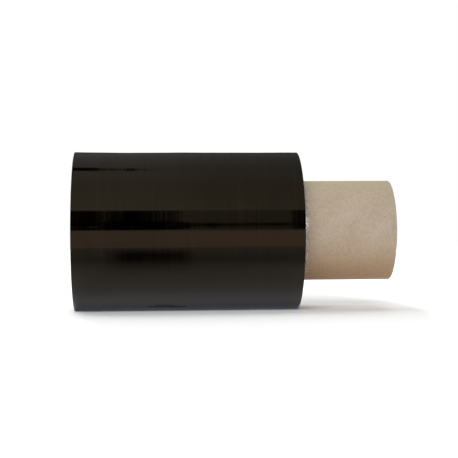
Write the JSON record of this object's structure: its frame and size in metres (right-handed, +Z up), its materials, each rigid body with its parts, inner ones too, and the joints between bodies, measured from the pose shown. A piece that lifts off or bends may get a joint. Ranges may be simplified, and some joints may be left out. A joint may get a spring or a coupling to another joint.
{
  "type": "stretch wrap roll",
  "caption": "Short hand roll of black stretch film wound on a longer paperboard core, whose bare end is the handle; it lies on its side.",
  "frame": {"origin": "on the surface the roll lies on, under the middle of its whole length", "axes": "+Z up, +X along the roll's axis towards the bare end of the core, +Y away from the viewer of the picture"},
  "size_m": [0.1424, 0.0726, 0.0715],
  "materials": {
    "film": "glossy black stretch film, wound tight",
    "core": "bare kraft paperboard, matte"
  },
  "bodies": {
    "root": {"core_tube": "core", "film_roll": "film"}
  },
  "joints": []
}
